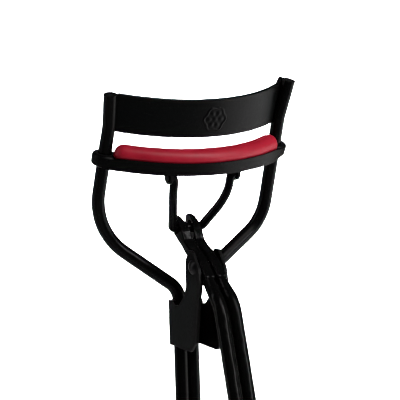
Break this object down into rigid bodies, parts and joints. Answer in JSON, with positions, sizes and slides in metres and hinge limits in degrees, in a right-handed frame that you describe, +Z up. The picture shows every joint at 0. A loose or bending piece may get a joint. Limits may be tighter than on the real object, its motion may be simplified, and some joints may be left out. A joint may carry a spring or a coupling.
{
  "type": "eyelash curler",
  "caption": "Black lacquered eyelash curler with wire frame and handles, a hinged yoke and lever, a linked sliding jaw with a red cushion, and a fixed curved plate",
  "frame": {"origin": "centre of the rear finger loop, where the thumb holds the tool", "axes": "+X across the jaws, -Y towards the side the jaws bulge to and the front handle opens to, +Z up along the two posts"},
  "size_m": [0.0384, 0.0726, 0.0959],
  "materials": {
    "wire_lacquer": "glossy black lacquer over steel wire",
    "sheet_lacquer": "satin-gloss black lacquer over sheet steel",
    "rivet_lacquer": "black lacquer, lightly rubbed on the dome",
    "cushion": "soft red silicone rubber, satin"
  },
  "bodies": {
    "frame": {"frame_wire": "wire_lacquer", "upper_plate": "sheet_lacquer", "yoke_bracket": "sheet_lacquer", "pivot_rivet": "rivet_lacquer"},
    "lever": {"lever_wire": "wire_lacquer"},
    "jaw": {"jaw_bar": "sheet_lacquer", "lug_left": "sheet_lacquer", "lug_right": "sheet_lacquer", "pad": "cushion"},
    "link": {"link_wire": "wire_lacquer"}
  },
  "joints": [
    {"name": "lever_pivot", "type": "hinge", "parent": "frame", "child": "lever", "pos_m": [0, -0.0027, 0.05244], "axis": [1, 0, 0], "range_deg": [-26, 10]},
    {"name": "jaw_slide", "type": "slide", "parent": "frame", "child": "jaw", "axis": [0, 0, 1], "range_m": [-0.00436, 0.00168]},
    {"name": "link_swing", "type": "hinge", "parent": "jaw", "child": "link", "pos_m": [0, 0.0031, 0.06694], "axis": [1, 0, 0], "range_deg": [-2.56, 6.65]}
  ],
  "couplings": [
    {"joint": "jaw_slide", "follows": "lever_pivot", "m_per_rad": 0.0096},
    {"joint": "link_swing", "follows": "lever_pivot", "ratio": -0.256}
  ]
}
